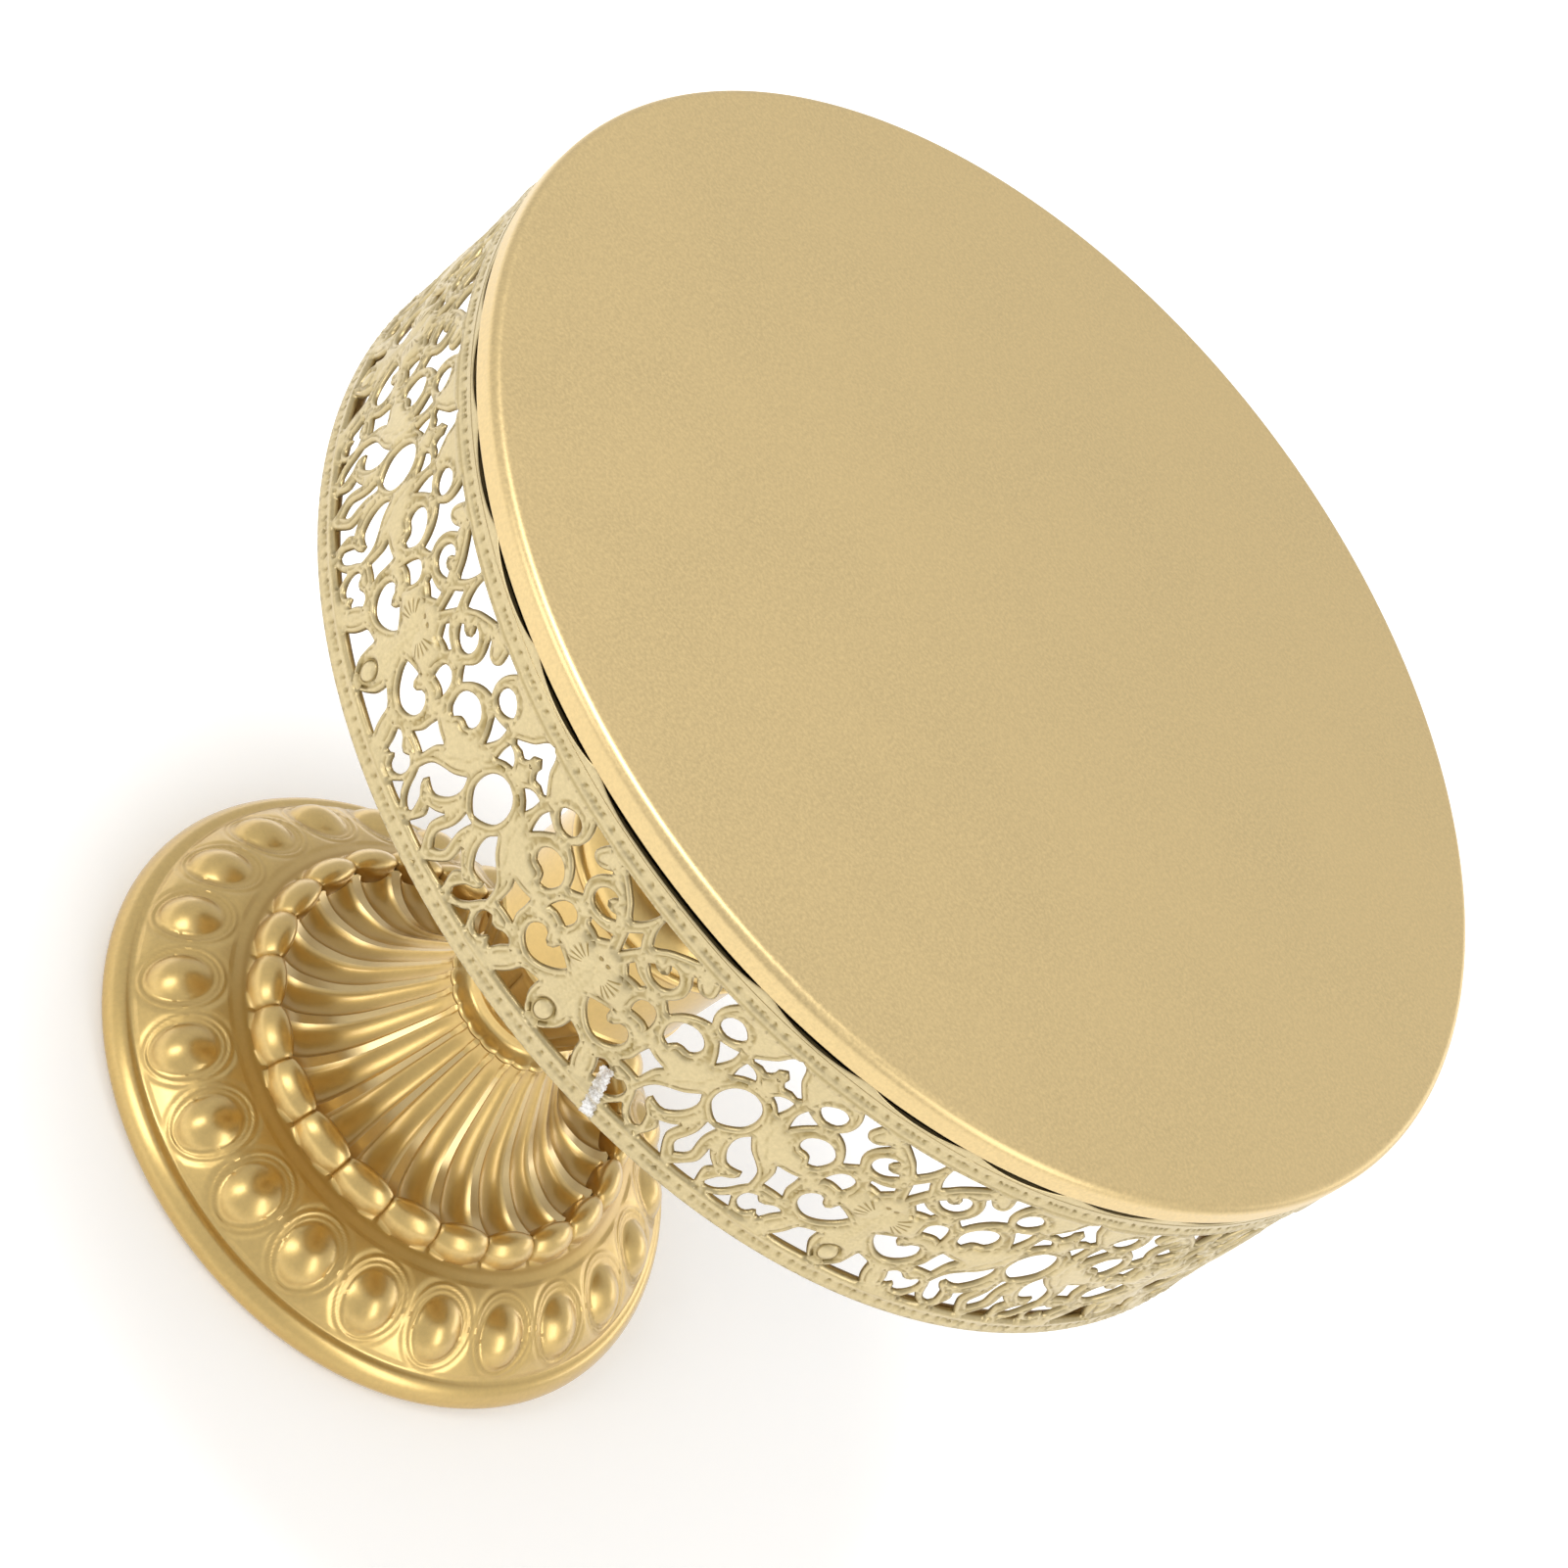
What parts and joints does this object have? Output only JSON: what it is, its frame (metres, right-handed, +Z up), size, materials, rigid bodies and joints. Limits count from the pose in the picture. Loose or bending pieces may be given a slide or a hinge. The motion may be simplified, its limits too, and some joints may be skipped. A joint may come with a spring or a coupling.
{
  "type": "cake stand",
  "caption": "Round pedestal cake stand: flat tray with a pierced lace band hanging from its rim, on a turned stem with a fluted trumpet and an embossed round foot.",
  "frame": {"origin": "on the table, at the centre of the round foot", "axes": "+Z up along the stem; -Y towards the front; +X to the right"},
  "size_m": [0.25, 0.25, 0.212],
  "materials": {
    "satin_gold": "satin champagne gold paint with a fine metallic grain",
    "lace_gold": "pale satin champagne gold paint",
    "warm_gold": "semi-gloss warm gold, darker in the recesses",
    "plated_steel": "zinc plated",
    "dark_wire": "gold paint in shadow tone, satin",
    "clear_tape": "cloudy clear adhesive tape",
    "pad_rubber": "matt"
  },
  "bodies": {
    "root": {"tray": "satin_gold", "tray_backing_plate": "plated_steel", "tray_threaded_boss": "plated_steel", "lace_band": "lace_gold", "band_tacks": "lace_gold", "band_hoop": "dark_wire", "seam_tape": "clear_tape", "flared_cup": "warm_gold", "neck_ring": "warm_gold", "stem_shoulder": "warm_gold", "stem_drum": "warm_gold", "ribbed_calyx": "warm_gold", "petal_collar": "warm_gold", "fluted_stem": "warm_gold", "foot_shell": "warm_gold", "foot_plate": "plated_steel", "foot_pads": "pad_rubber", "tie_rod": "plated_steel", "rod_washer": "plated_steel", "rod_nut": "plated_steel"}
  },
  "joints": []
}
